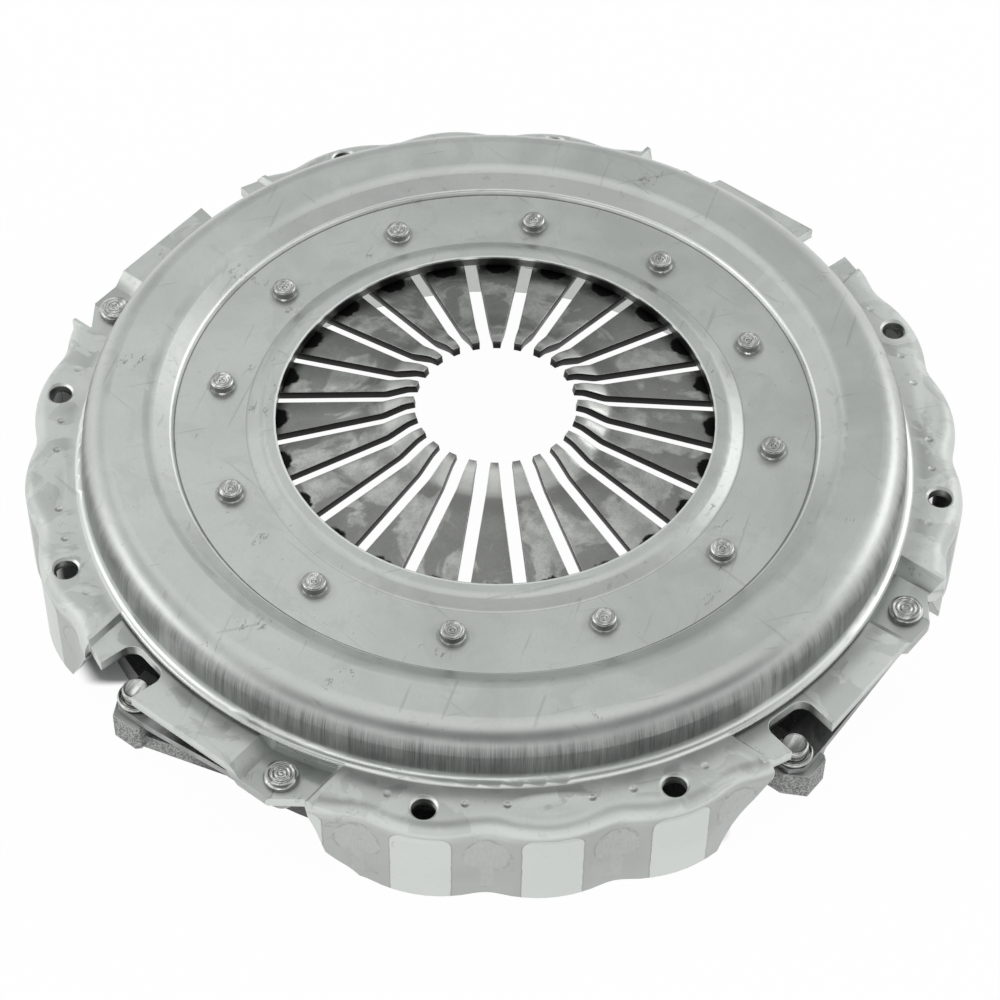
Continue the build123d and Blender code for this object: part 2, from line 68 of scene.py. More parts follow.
MM = 0.001
COVER_BODY = "cover_assembly"
PLATE_BODY = "pressure_plate_assembly"
BAY_ANGLES = {1: 45.0, 2: 135.0, 3: 225.0, 4: 315.0}
STRAP_HALF_ANGLE = 12.0
SEGMENT_PITCH = 90.0
SCALLOP_PITCH = 15.0
FULCRUM_RIVETS = 12
FIRST_FULCRUM_RIVET = 15.0

# Radii and heights of the frame that the surfaces follow, in millimetres
RIM_RADIUS = 222.1
BOLT_CIRCLE = 211.0
BOLT_ANGLE = 15.0
STRAP_CIRCLE = 209.5
FULCRUM_CIRCLE = 130.65
SEAT_HEIGHT = 42.7
LUG_TOP = 23.5
STRAP_LOW = 23.5
STRAP_HIGH = 33.6
COLLAR_TOP = 28.6
STEP_RADIUS = 151.2
LIP_FOOT_RADIUS = 116.5
BORE_RADIUS = 103.0
PLATE_BORE_RADIUS = 150.0
PIP_CIRCLE = 207.0
PIP_RADIUS = 1.3
BOLT_HOLE_RADIUS = 5.5
# Half the depth of the skirt's waves
WAVE_DEPTH = 2.05
# Flat panel on each bulge of the skirt
PANEL_HALF_WIDTH = 13.6
PANEL_TOP = 43.6
PANEL_CORNER = 6.0
# Length of a strap leaf's straight end from its rivet, and the share of its rise that eases in and out
LEAF_STRAIGHT = 9.5
LEAF_EASE = 0.35

# Camera in degrees, millimetres and metres
CAMERA_ELEVATION = 49.5191
CAMERA_ROLL = -1.2119
CAMERA_TURN = 7.6209
CAMERA_LENS = 109.832
CAMERA_SENSOR = 36.0
CAMERA_PLACE = (-0.12428, -0.95114, 1.1347)

# Name, place, width and height in metres, and power of each lamp
LAMPS = (
    ("key", (-1.8, 0.1, 0.6), 1.2, 0.7, 2.6),
    ("side", (1.7, 0.6, 0.9), 1.1, 0.8, 3.0),
    ("front", (-0.4, -1.9, 0.35), 1.6, 0.3, 2.5),
    ("back", (-0.6, 1.5, 2.0), 1.2, 0.5, 1.5),
)
LAMP_TARGET = (0, 0, 0.05)

# Shades of the room round the clutch, in linear light
ROOM_BELOW = (0.3, 0.31, 0.31)
ROOM_WALLS = (0.53, 0.54, 0.54)
ROOM_CEILING = (1.0, 1.0, 1.0)
ROOM_SIDES = (0.98, 0.98, 0.98)
ROOM_DIM_END = (0.14, 0.145, 0.145)
FLOOR_HALF_SIZE = 12.0


class ClutchSizes(bpy.types.PropertyGroup):
    """Sizes of the dressed pieces"""

    edge_softness: FloatProperty(
        name="Edge softness", description="Radius that the eye sees on sheared edges",
        default=0.0006, unit="LENGTH",
    )
    spring_edge: FloatProperty(
        name="Spring edge", description="Width of the broken edge on the spring's fingers",
        default=0.00045, unit="LENGTH",
    )
    leaf_thickness: FloatProperty(
        name="Strap leaf", description="Thickness of one leaf of a drive strap",
        default=0.0012, unit="LENGTH",
    )
    leaf_width: FloatProperty(
        name="Strap width", description="Width of a drive strap",
        default=0.017, unit="LENGTH",
    )
    turning_steps: IntProperty(
        name="Turning steps", description="Facets round a rivet head", default=64, min=12, max=128
    )


class ClutchColours(bpy.types.PropertyGroup):
    """Colours of the dressed pieces"""

    cover: FloatVectorProperty(
        name="Cover", description="Pressed steel of the cover",
        default=(0.62, 0.645, 0.625), subtype="COLOR", min=0, max=1,
    )
    spring: FloatVectorProperty(
        name="Spring", description="Heat-treated steel of the spring",
        default=(0.27, 0.275, 0.265), subtype="COLOR", min=0, max=1,
    )
    rivet: FloatVectorProperty(
        name="Rivets", description="Bright steel of the rivets",
        default=(0.68, 0.69, 0.67), subtype="COLOR", min=0, max=1,
    )
    strap: FloatVectorProperty(
        name="Straps", description="Rolled steel of the drive straps",
        default=(0.33, 0.335, 0.33), subtype="COLOR", min=0, max=1,
    )
    iron: FloatVectorProperty(
        name="Cast iron", description="Rough iron of the pressure plate",
        default=(0.2, 0.205, 0.2), subtype="COLOR", min=0, max=1,
    )
    floor: FloatVectorProperty(
        name="Floor", description="Floor under the object",
        default=(0.9, 0.9, 0.9), subtype="COLOR", min=0, max=1,
    )


class Wiring:
    """Adds and links the nodes of one material or node group."""

    def __init__(self, tree):
        self.tree = tree

    def add(self, kind, **settings):
        node = self.tree.nodes.new(kind)
        for name, value in settings.items():
            setattr(node, name, value)
        return node

    def put(self, socket, value):
        if isinstance(value, bpy.types.NodeSocket):
            self.tree.links.new(value, socket)
        elif isinstance(value, (tuple, list)) and len(value) == 3 and socket.type == "RGBA":
            socket.default_value = (*value, 1.0)
        else:
            socket.default_value = value

    def math(self, operation, *values):
        node = self.add("ShaderNodeMath", operation=operation)
        for socket, value in zip(node.inputs, values):
            self.put(socket, value)
        return node.outputs[0]

    def times(self, a, b):
        return self.math("MULTIPLY", a, b)

    def plus(self, a, b):
        return self.math("ADD", a, b)

    def minus(self, a, b):
        return self.math("SUBTRACT", a, b)

    def either(self, a, b):
        return self.math("MAXIMUM", a, b)

    def step(self, value, start, end, low=0.0, high=1.0):
        """Smooth change from low at start to high at end."""
        node = self.add("ShaderNodeMapRange", interpolation_type="SMOOTHSTEP")
        for name, number in (
            ("Value", value), ("From Min", start), ("From Max", end), ("To Min", low), ("To Max", high)
        ):
            self.put(node.inputs[name], number)
        return node.outputs["Result"]

    def band(self, value, low, high, soft):
        """Mask of the values between low and high."""
        above = self.step(value, low - soft, low + soft)
        return self.times(above, self.step(value, high + soft, high - soft))

    def spot(self, across, along, half_across, half_along, soft=0.2):
        """Mask of an oval round zero, from two signed distances."""
        a = self.math("POWER", self.math("ABSOLUTE", self.math("DIVIDE", across, half_across)), 2.0)
        b = self.math("POWER", self.math("ABSOLUTE", self.math("DIVIDE", along, half_along)), 2.0)
        return self.step(self.math("SQRT", self.plus(a, b)), 1 + soft, 1 - soft)

    def mix(self, share, a, b):
        """Colour between a and b."""
        node = self.add("ShaderNodeMix", data_type="RGBA")
        self.put(node.inputs["Factor"], share)
        self.put(node.inputs[6], a)
        self.put(node.inputs[7], b)
        return node.outputs[2]

    def noise(self, place, scale, detail=3.0, roughness=0.55, distortion=0.0):
        node = self.add("ShaderNodeTexNoise")
        for name, value in (
            ("Vector", place), ("Scale", scale), ("Detail", detail), ("Roughness", roughness),
            ("Distortion", distortion),
        ):
            self.put(node.inputs[name], value)
        return node.outputs["Fac"]

    def stretched(self, place, scale, turn=0.0):
        """Place turned about the axis by some degrees, then stretched."""
        turned = self.add("ShaderNodeVectorRotate", rotation_type="Z_AXIS")
        self.put(turned.inputs["Vector"], place)
        self.put(turned.inputs["Angle"], math.radians(turn))
        node = self.add("ShaderNodeMapping")
        self.put(node.inputs["Vector"], turned.outputs["Vector"])
        self.put(node.inputs["Scale"], scale)
        return node.outputs["Vector"]

    def joined(self, x, y=0.0, z=0.0):
        """Vector of three values."""
        node = self.add("ShaderNodeCombineXYZ")
        for socket, value in zip(node.inputs, (x, y, z)):
            self.put(socket, value)
        return node.outputs[0]

    def upward(self):
        """Upward part of the surface's normal, from -1 to 1."""
        parts = self.add("ShaderNodeSeparateXYZ")
        self.put(parts.inputs[0], self.add("ShaderNodeTexCoord").outputs["Normal"])
        return parts.outputs["Z"]

    def distance(self, across, along):
        """Distance from zero of two signed distances."""
        return self.math("SQRT", self.plus(self.times(across, across), self.times(along, along)))

    def place(self):
        return self.add("ShaderNodeTexCoord").outputs["Object"]

    def shared(self, group, **values):
        node = self.add("ShaderNodeGroup", node_tree=group)
        for name, value in values.items():
            self.put(node.inputs[name.replace("_", " ")], value)
        return node.outputs

    def relief(self, height, strength=1.0, normal=None):
        """Bump from a height in millimetres."""
        node = self.add("ShaderNodeBump")
        self.put(node.inputs["Strength"], strength)
        self.put(node.inputs["Distance"], MM)
        self.put(node.inputs["Height"], height)
        if normal is not None:
            self.put(node.inputs["Normal"], normal)
        return node.outputs["Normal"]


def group_of(name, inputs, outputs):
    """New shader node group with its sockets, and the wiring, entry and exit to fill it."""
    tree = bpy.data.node_groups.new(name, "ShaderNodeTree")
    for label, kind, default in inputs:
        socket = tree.interface.new_socket(name=label, in_out="INPUT", socket_type=kind)
        if default is not None:
            socket.default_value = default
    for label, kind in outputs:
        tree.interface.new_socket(name=label, in_out="OUTPUT", socket_type=kind)
    wiring = Wiring(tree)
    entry = wiring.add("NodeGroupInput").outputs
    leave = wiring.add("NodeGroupOutput").inputs
    return tree, wiring, entry, leave


def make_polar_group():
    """Where a point lies on the clutch, in millimetres and degrees."""
    tree, w, entry, leave = group_of(
        "Polar place",
        [("Place", "NodeSocketVector", None)],
        [
            ("Radius", "NodeSocketFloat"), ("Angle", "NodeSocketFloat"), ("Height", "NodeSocketFloat"),
            ("From segment", "NodeSocketFloat"), ("From bulge", "NodeSocketFloat"),
            ("From hollow", "NodeSocketFloat"),
        ],
    )
    parts = w.add("ShaderNodeSeparateXYZ")
    w.put(parts.inputs[0], entry["Place"])
    x, y, z = parts.outputs
    radius = w.times(w.math("SQRT", w.plus(w.times(x, x), w.times(y, y))), 1000.0)
    angle = w.math("DEGREES", w.math("ARCTAN2", y, x))
    w.put(leave["Radius"], radius)
    w.put(leave["Angle"], angle)
    w.put(leave["Height"], w.times(z, 1000.0))
    w.put(leave["From segment"], w.math("WRAP", angle, SEGMENT_PITCH / 2, -SEGMENT_PITCH / 2))
    w.put(leave["From bulge"], w.math("WRAP", angle, SCALLOP_PITCH / 2, -SCALLOP_PITCH / 2))
    w.put(
        leave["From hollow"],
        w.math("WRAP", w.plus(angle, SCALLOP_PITCH / 2), SCALLOP_PITCH / 2, -SCALLOP_PITCH / 2),
    )
    return tree


def make_wear_group():
    """Mask of worn edges, and a normal that rounds them."""
    tree, w, entry, leave = group_of(
        "Edge wear",
        [("Width", "NodeSocketFloat", 0.0006), ("Reach", "NodeSocketFloat", 4.0)],
        [("Wear", "NodeSocketFloat"), ("Normal", "NodeSocketVector")],
    )
    rounded = w.add("ShaderNodeBevel", samples=6)
    w.put(rounded.inputs["Radius"], entry["Width"])
    flat = w.add("ShaderNodeNewGeometry").outputs["Normal"]
    dot = w.add("ShaderNodeVectorMath", operation="DOT_PRODUCT")
    w.put(dot.inputs[0], rounded.outputs[0])
    w.put(dot.inputs[1], flat)
    bend = w.times(w.minus(1.0, dot.outputs["Value"]), entry["Reach"])
    patchy = w.step(w.noise(w.place(), 120.0, 3.0), 0.3, 0.62, 0.45, 1.0)
    w.put(leave["Wear"], w.math("MINIMUM", w.times(bend, patchy), 1.0))
    w.put(leave["Normal"], rounded.outputs[0])
    return tree


def make_scuff_group():
    """Sparse straight hairlines in three directions, and a few ragged scratches."""
    tree, w, entry, leave = group_of(
        "Scuffs",
        [("Place", "NodeSocketVector", None), ("Scale", "NodeSocketFloat", 1.0)],
        [("Hairlines", "NodeSocketFloat"), ("Scratches", "NodeSocketFloat")],
    )
    hairs = None
    for turn, density in ((24.0, 330.0), (-38.0, 270.0), (81.0, 400.0)):
        drawn_out = w.stretched(entry["Place"], (1.0, 0.045, 1.0), turn)
        lines = w.noise(drawn_out, w.times(entry["Scale"], density), 1.0, 0.5)
        hair = w.step(lines, 0.7, 0.76)
        hairs = hair if hairs is None else w.either(hairs, hair)
    w.put(leave["Hairlines"], hairs)
    drawn_out = w.stretched(entry["Place"], (1.0, 0.35, 1.0), 30.0)
    bent = w.noise(drawn_out, w.times(entry["Scale"], 42.0), 5.0, 0.7)
    line = w.step(w.math("ABSOLUTE", w.minus(bent, 0.5)), 0.009, 0.002)
    here = w.step(w.noise(entry["Place"], w.times(entry["Scale"], 36.0), 2.0), 0.64, 0.68)
    w.put(leave["Scratches"], w.times(line, here))
    return tree


def make_grain_group():
    """Fine grain, soft cloudy patches, sharper stains and specks of bare steel."""
    tree, w, entry, leave = group_of(
        "Steel grain",
        [("Place", "NodeSocketVector", None)],
        [
            ("Grain", "NodeSocketFloat"), ("Clouds", "NodeSocketFloat"), ("Stains", "NodeSocketFloat"),
            ("Specks", "NodeSocketFloat"),
        ],
    )
    w.put(leave["Grain"], w.noise(w.stretched(entry["Place"], (1.0, 0.2, 1.0), 30.0), 1700.0, 2.0, 0.6))
    w.put(leave["Clouds"], w.noise(entry["Place"], 16.0, 4.0, 0.6, 0.4))
    w.put(leave["Stains"], w.step(w.noise(entry["Place"], 38.0, 6.0, 0.62, 0.8), 0.56, 0.6))
    w.put(leave["Specks"], w.step(w.noise(entry["Place"], 420.0, 1.0), 0.74, 0.78))
    return tree


def make_groups():
    """The shared node groups, made once."""
    return {
        "polar": make_polar_group(),
        "wear": make_wear_group(),
        "scuffs": make_scuff_group(),
        "grain": make_grain_group(),
    }


def new_material(name):
    """Empty node material and its wiring, shader and colours."""
    material = bpy.data.materials.new(name)
    material.use_nodes = True
    tree = material.node_tree
    tree.nodes.clear()
    w = Wiring(tree)
    shader = w.add("ShaderNodeBsdfPrincipled")
    out = w.add("ShaderNodeOutputMaterial")
    tree.links.new(shader.outputs[0], out.inputs["Surface"])
    return material, w, shader.inputs


def scaled(colour, factor):
    return tuple(min(1.0, c * factor) for c in colour)


def cover_steel(groups, colour, softness):
    """Satin pressed steel: drawn wall with painted shade, skirt panels and hollows with painted highlights
    and shade, smears, pips, bolt rims, creases with painted shade and highlights, and scratches.
    """
    material, w, shader = new_material("pressed_steel_satin")
    place = w.place()
    polar = w.shared(groups["polar"], Place=place)
    radius, height = polar["Radius"], polar["Height"]
    grain = w.shared(groups["grain"], Place=place)
    wear = w.shared(groups["wear"], Width=softness)
    marks = w.shared(groups["scuffs"], Place=place, Scale=1.0)
    rough_marks = w.shared(groups["scuffs"], Place=place, Scale=2.3)
    upright = w.math("ABSOLUTE", w.upward())
    outer = w.step(radius, 205.0, 212.0)
    ragged = w.minus(w.noise(place, 210.0, 4.0, 0.65), 0.5)
    along_rim = w.times(w.math("ABSOLUTE", polar["From bulge"]), RIM_RADIUS * math.pi / 180)
    along_hollow = w.plus(w.times(polar["From hollow"], RIM_RADIUS * math.pi / 180), w.times(ragged, 5.0))

    # Drawn wall of the dome: fine upright streaks, and painted shade that darkens the steep wall
    wall = w.times(w.band(radius, 186.0, 196.5, 1.0), w.step(upright, 0.86, 0.42))
    wall = w.times(wall, w.step(height, 54.0, 57.0))
    fine_streaks = w.noise(w.joined(w.times(polar["Angle"], 6.5), w.times(height, 0.015)), 2.4, 4.0, 0.75)
    broad_streaks = w.noise(w.joined(w.times(polar["Angle"], 0.5), w.times(height, 0.01)), 2.0, 3.0, 0.6)

    # Panels pressed flat on the skirt's bulges, painted lighter as a painted highlight, with painted shade
    # along their outline
    side = w.math("MAXIMUM", w.minus(along_rim, PANEL_HALF_WIDTH - PANEL_CORNER), 0.0)
    top = w.math("MAXIMUM", w.minus(height, PANEL_TOP - PANEL_CORNER), 0.0)
    past = w.plus(w.minus(w.distance(side, top), PANEL_CORNER), w.times(ragged, 1.2))
    skirt = w.times(outer, w.step(height, 47.0, 43.5))
    panel = w.times(w.step(past, 0.25, -0.25), skirt)
    panel_edge_shade = w.times(w.band(past, 0.0, 0.5, 0.3), skirt)

    # Painted highlight and rubbed smears in the hollows between them: a wide oval cap on a wavering stem,
    # with painted shade along the cap's rim
    cap_height = w.plus(w.minus(height, 29.0), w.times(ragged, 5.0))
    cap_reach = w.distance(w.times(along_hollow, 1 / 10.5), w.times(cap_height, 1 / 11.0))
    cap = w.times(w.step(cap_reach, 1.04, 0.97), w.step(w.plus(height, w.times(ragged, 6.0)), 20.0, 21.5))
    sway = w.minus(w.noise(w.joined(0.0, 0.0, w.times(height, 0.16)), 1.0, 2.0), 0.5)
    stem = w.band(w.plus(along_hollow, w.times(sway, 5.0)), -3.0, 3.0, 0.5)
    stem = w.times(stem, w.band(height, 5.0, 30.0, 1.0))
    smear_and_highlight = w.times(w.either(cap, stem), skirt)
    highlight_mottle = w.noise(w.joined(w.times(polar["Angle"], 3.0), w.times(height, 0.1)), 2.0, 4.0, 0.7)
    cap_line = w.times(w.band(cap_reach, 0.97, 1.08, 0.04), w.step(height, 20.0, 22.0))
    highlight_rim_shade = w.times(w.times(cap_line, skirt), w.step(w.noise(place, 160.0, 2.0), 0.42, 0.52))

    # Flange: small pips, a shallow pocket at the middle of each segment, and the rims of the bolt holes
    reach = w.times(w.math("ABSOLUTE", polar["From segment"]), BOLT_CIRCLE * math.pi / 180)
    flange = w.band(height, 46.5, 53.0, 0.5)
    pips = None
    for angle, depth in ((5.1, 1.0), (10.2, 0.8), (19.6, 0.5)):
        beside = w.minus(reach, BOLT_CIRCLE * math.radians(angle))
        pip = w.spot(w.minus(radius, PIP_CIRCLE), beside, PIP_RADIUS, PIP_RADIUS, 0.7)
        pip = w.times(pip, depth)
        pips = pip if pips is None else w.either(pips, pip)
    pips = w.times(pips, flange)
    pocket = w.times(w.spot(w.minus(radius, 211.0), reach, 6.0, 15.0, 0.6), flange)
    gap = w.minus(reach, BOLT_CIRCLE * math.radians(BOLT_ANGLE))
    from_bolt = w.distance(gap, w.minus(radius, BOLT_CIRCLE))
    rim = w.band(from_bolt, BOLT_HOLE_RADIUS - 0.1, BOLT_HOLE_RADIUS + 0.9, 0.35)
    rim = w.times(rim, w.band(height, 47.0, 53.0, 0.5))
    dish = w.times(w.step(from_bolt, 16.0, 6.5), flange)
    # Painted shade on the inner walls of the bolt holes
    hole_wall_shade = w.step(from_bolt, BOLT_HOLE_RADIUS + 0.25, BOLT_HOLE_RADIUS + 0.05)
    hole_wall_shade = w.times(hole_wall_shade, w.step(height, 51.3, 49.5))
    ripple = w.math("COSINE", w.times(polar["From bulge"], math.tau / SCALLOP_PITCH))
    from_rim = w.minus(w.minus(RIM_RADIUS - WAVE_DEPTH, w.times(ripple, -WAVE_DEPTH)), radius)
    rounding = w.math("MAXIMUM", w.minus(1.0, w.times(from_rim, 1 / 21.0)), 0.0)
    rounding = w.times(w.times(rounding, rounding), w.step(height, 40.0, 46.0))
    edge_part = w.times(w.step(radius, 199.0, 208.0), w.step(height, 34.0, 46.0))
    dents = w.times(w.noise(place, 34.0, 2.0, 0.5), edge_part)

    # Creases: painted shade in a groove inside the annulus' step with a painted highlight above it, and
    # painted shade in the crease at the lip's foot
    high_up = w.step(height, 68.0, 69.0)
    groove_shade = w.times(w.band(radius, STEP_RADIUS - 1.1, STEP_RADIUS - 0.5, 0.2), high_up)
    step_highlight = w.times(w.band(radius, STEP_RADIUS + 0.2, STEP_RADIUS + 1.3, 0.25), high_up)
    crease_shade = w.times(w.band(radius, LIP_FOOT_RADIUS + 0.1, LIP_FOOT_RADIUS + 0.5, 0.3), high_up)
    # Painted highlight along the bore's top edge, and painted shade on the bore's face
    bore_edge_highlight = w.times(w.band(radius, BORE_RADIUS - 0.5, BORE_RADIUS + 0.9, 0.2), w.step(height, 72.4, 73.2))
    bore_face_shade = w.times(w.step(radius, BORE_RADIUS + 0.6, BORE_RADIUS + 0.3), w.step(height, 73.2, 72.4))
    # Painted highlight along the foot of the dome's wall
    wall_foot_highlight = w.times(w.band(radius, 195.2, 198.0, 0.5), w.step(height, 56.0, 54.5))
    # By each fulcrum rivet: a darker oval a little inward of it, and a ring of painted shade round its foot
    rivet_turn = w.math("WRAP", w.plus(polar["Angle"], 15.0), 15.0, -15.0)
    around = w.plus(w.times(rivet_turn, FULCRUM_CIRCLE * math.pi / 180), w.times(ragged, 4.0))
    oval_at_rivet = w.spot(around, w.minus(radius, FULCRUM_CIRCLE - 1.0), 10.0, 6.5, 0.22)
    oval_at_rivet = w.times(oval_at_rivet, w.times(w.band(height, 69.0, 70.8, 0.3), w.step(upright, 0.6, 0.9)))
    from_rivet = w.distance(around, w.minus(radius, FULCRUM_CIRCLE))
    rivet_ring_shade = w.times(w.band(from_rivet, 5.6, 7.3, 0.6), high_up)

    tone = w.mix(w.step(grain["Clouds"], 0.3, 0.7), scaled(colour, 0.92), scaled(colour, 1.07))
    tone = w.mix(w.times(grain["Stains"], 0.4), tone, scaled(colour, 0.88))
    tone = w.mix(w.times(w.step(grain["Grain"], 0.4, 0.7), 0.16), tone, scaled(colour, 0.76))
    tone = w.mix(w.times(grain["Specks"], 0.3), tone, scaled(colour, 0.5))
    patches = w.step(w.noise(place, 48.0, 5.0, 0.55, 0.8), 0.5, 0.55)
    patches = w.times(patches, w.times(flange, w.step(radius, 198.0, 203.0)))
    tone = w.mix(w.times(patches, 0.5), tone, scaled(colour, 0.55))
    # Painted shade over the upright skirt
    tone = w.mix(w.times(skirt, w.step(grain["Clouds"], 0.3, 0.7, 0.6, 0.85)), tone, scaled(colour, 0.6))
    # Painted highlight on the flat panels, and painted shade along their outline
    tone = w.mix(w.times(panel, 0.85), tone, scaled(colour, 1.14))
    tone = w.mix(w.times(panel_edge_shade, 0.4), tone, scaled(colour, 0.45))
    # Painted highlight in the hollows, mottled, with painted shade along its rim
    tone = w.mix(w.times(smear_and_highlight, w.step(highlight_mottle, 0.3, 0.7, 0.1, 0.55)), tone, scaled(colour, 0.9))
    tone = w.mix(w.times(highlight_rim_shade, 0.4), tone, scaled(colour, 0.42))
    # Painted shade on the steep wall, broken by the drawn streaks and lighter towards its top
    wall_streaks_and_shade = w.mix(w.step(fine_streaks, 0.34, 0.66), scaled(colour, 0.2), scaled(colour, 0.52))
    wall_streaks_and_shade = w.mix(w.step(height, 68.0, 78.0), wall_streaks_and_shade, scaled(colour, 0.7))
    tone = w.mix(w.times(wall, w.step(broad_streaks, 0.3, 0.7, 0.7, 1.0)), tone, wall_streaks_and_shade)
    # Darker oval by each rivet, and painted shade in a ring round its foot
    tone = w.mix(w.times(oval_at_rivet, 0.24), tone, scaled(colour, 0.6))
    tone = w.mix(w.times(rivet_ring_shade, 0.45), tone, scaled(colour, 0.35))
    # Painted shade in the step's groove and the lip's crease
    tone = w.mix(w.times(w.either(groove_shade, w.times(crease_shade, 0.45)), 0.85), tone, scaled(colour, 0.16))
    # Painted shade on the bore's face
    tone = w.mix(w.times(bore_face_shade, 0.92), tone, scaled(colour, 0.12))
    tone = w.mix(w.times(hole_wall_shade, 0.95), tone, scaled(colour, 0.05))
    tone = w.mix(w.times(marks["Hairlines"], w.minus(0.26, w.times(panel, 0.2))), tone, scaled(colour, 0.5))
    tone = w.mix(w.times(marks["Scratches"], 0.55), tone, scaled(colour, 0.22))
    rough_part = w.times(w.step(radius, 200.0, 208.0), w.band(height, 34.0, 52.0, 3.0))
    tone = w.mix(w.times(w.times(rough_marks["Scratches"], rough_part), 0.7), tone, scaled(colour, 0.18))
    # Bright worn edges and polished bolt rims, with painted highlights along the step, the bore's edge and
    # the wall's foot
    lines = w.either(step_highlight, w.either(bore_edge_highlight, w.times(wall_foot_highlight, 0.8)))
    bright = w.either(w.either(rim, wear["Wear"]), lines)
    tone = w.mix(w.times(bright, 0.85), tone, scaled(colour, 1.5))
    # Painted highlight on the brim, which is also rougher
    brim = w.times(w.step(radius, 203.0, 212.0), w.step(height, 39.0, 46.0))
    tone = w.mix(w.times(brim, 0.35), tone, scaled(colour, 1.4))
    w.put(shader["Base Color"], tone)
    shader["Metallic"].default_value = 1.0
    gloss = w.plus(w.step(grain["Clouds"], 0.25, 0.75, 0.3, 0.4), w.times(grain["Grain"], 0.05))
    gloss = w.plus(gloss, w.times(w.either(panel, w.times(smear_and_highlight, 0.6)), 0.14))
    gloss = w.plus(gloss, w.times(brim, 0.17))
    gloss = w.minus(gloss, w.times(bright, 0.08))
    w.put(shader["Roughness"], gloss)

    high = w.times(grain["Grain"], 0.006)
    high = w.plus(high, w.times(grain["Clouds"], 0.3))
    high = w.plus(high, w.times(dents, 0.9))
    high = w.minus(high, w.times(pips, 0.8))
    high = w.minus(high, w.times(pocket, 1.1))
    high = w.minus(high, w.times(dish, 0.35))
    high = w.minus(high, w.times(rounding, 2.4))
    high = w.minus(high, w.times(w.either(panel, w.times(smear_and_highlight, 0.3)), 0.35))
    high = w.plus(high, w.times(w.times(fine_streaks, wall), 0.1))
    high = w.minus(high, w.times(w.either(marks["Scratches"], w.times(marks["Hairlines"], 0.3)), 0.05))
    w.put(shader["Normal"], w.relief(high, 1.0, wear["Normal"]))
    return material


def spring_steel(groups, colour, softness):
    """Dark blotchy heat-treated steel with bright edges, polished bends, painted shade on its sides and a
    painted shadow under the cover's bore.
    """
    material, w, shader = new_material("spring_steel_dark")
    place = w.place()
    polar = w.shared(groups["polar"], Place=place)
    radius = polar["Radius"]
    grain = w.shared(groups["grain"], Place=place)
    marks = w.shared(groups["scuffs"], Place=place, Scale=1.6)
    wear = w.shared(groups["wear"], Width=softness, Reach=6.0)
    upright = w.upward()
    patches = w.noise(place, 30.0, 5.0, 0.55, 1.0)
    cloudy = w.noise(place, 110.0, 4.0, 0.6)
    fine = w.noise(place, 900.0, 2.0, 0.6)
    across = w.times(polar["From hollow"], w.times(radius, math.pi / 180))
    ragged = w.times(w.minus(w.noise(place, 300.0, 3.0), 0.5), 5.0)
    # Painted shadow of the cover's lip on each finger, just inside the bore
    lip_shadow = w.spot(across, w.plus(w.minus(radius, 104.0), ragged), 6.5, 6.5, 0.12)
    lip_shadow = w.times(lip_shadow, w.step(radius, 92.0, 95.0))
    polished = w.band(radius, 41.0, 53.0, 2.5)
    dull = w.band(radius, 55.0, 63.0, 3.5)
    top = w.step(upright, 0.15, 0.6)
    tone = w.mix(w.step(patches, 0.455, 0.525), scaled(colour, 0.95), scaled(colour, 1.75))
    tone = w.mix(w.times(w.step(cloudy, 0.42, 0.6), 0.4), tone, scaled(colour, 0.8))
    tone = w.mix(w.times(w.step(fine, 0.45, 0.7), 0.25), tone, scaled(colour, 0.6))
    tone = w.mix(w.times(dull, 0.4), tone, scaled(colour, 0.5))
    tone = w.mix(w.times(polished, 0.75), tone, scaled(colour, 2.3))
    tone = w.mix(w.times(marks["Hairlines"], 0.1), tone, scaled(colour, 2.0))
    # Painted shade on every face that does not face up
    tone = w.mix(w.minus(1.0, top), tone, scaled(colour, 0.08))
    tone = w.mix(w.times(lip_shadow, 0.97), tone, scaled(colour, 0.03))
    tone = w.mix(w.times(w.times(wear["Wear"], w.step(upright, 0.25, 0.5)), 0.95), tone, scaled(colour, 3.0))
    w.put(shader["Base Color"], tone)
    shader["Metallic"].default_value = 1.0
    gloss = w.minus(w.step(patches, 0.3, 0.7, 0.42, 0.27), w.times(polished, 0.06))
    w.put(shader["Roughness"], w.plus(gloss, w.times(lip_shadow, 0.25)))
    high = w.plus(w.times(fine, 0.015), w.times(grain["Clouds"], 0.15))
    w.put(shader["Normal"], w.relief(high, 1.0, wear["Normal"]))
    return material


def rivet_steel(groups, colour, softness):
    """Bright turned steel with fine rings and smudges, and painted shade on its sides."""
    material, w, shader = new_material("rivet_steel_bright")
    place = w.place()
    grain = w.shared(groups["grain"], Place=place)
    wear = w.shared(groups["wear"], Width=softness, Reach=3.0)
    smudge = w.noise(w.stretched(place, (1.0, 0.14, 1.0), 35.0), 420.0, 3.0, 0.6)
    tone = w.mix(w.step(smudge, 0.4, 0.66), scaled(colour, 0.62), scaled(colour, 1.15))
    # Painted shade on the faces that do not face up
    tone = w.mix(w.step(w.upward(), 0.5, 0.1), tone, scaled(colour, 0.5))
    tone = w.mix(w.times(wear["Wear"], 0.7), tone, scaled(colour, 1.4))
    w.put(shader["Base Color"], tone)
    shader["Metallic"].default_value = 1.0
    w.put(shader["Roughness"], w.step(smudge, 0.3, 0.7, 0.27, 0.14))
    high = w.plus(w.times(smudge, 0.1), w.times(grain["Grain"], 0.02))
    w.put(shader["Normal"], w.relief(high, 1.0, wear["Normal"]))
    return material


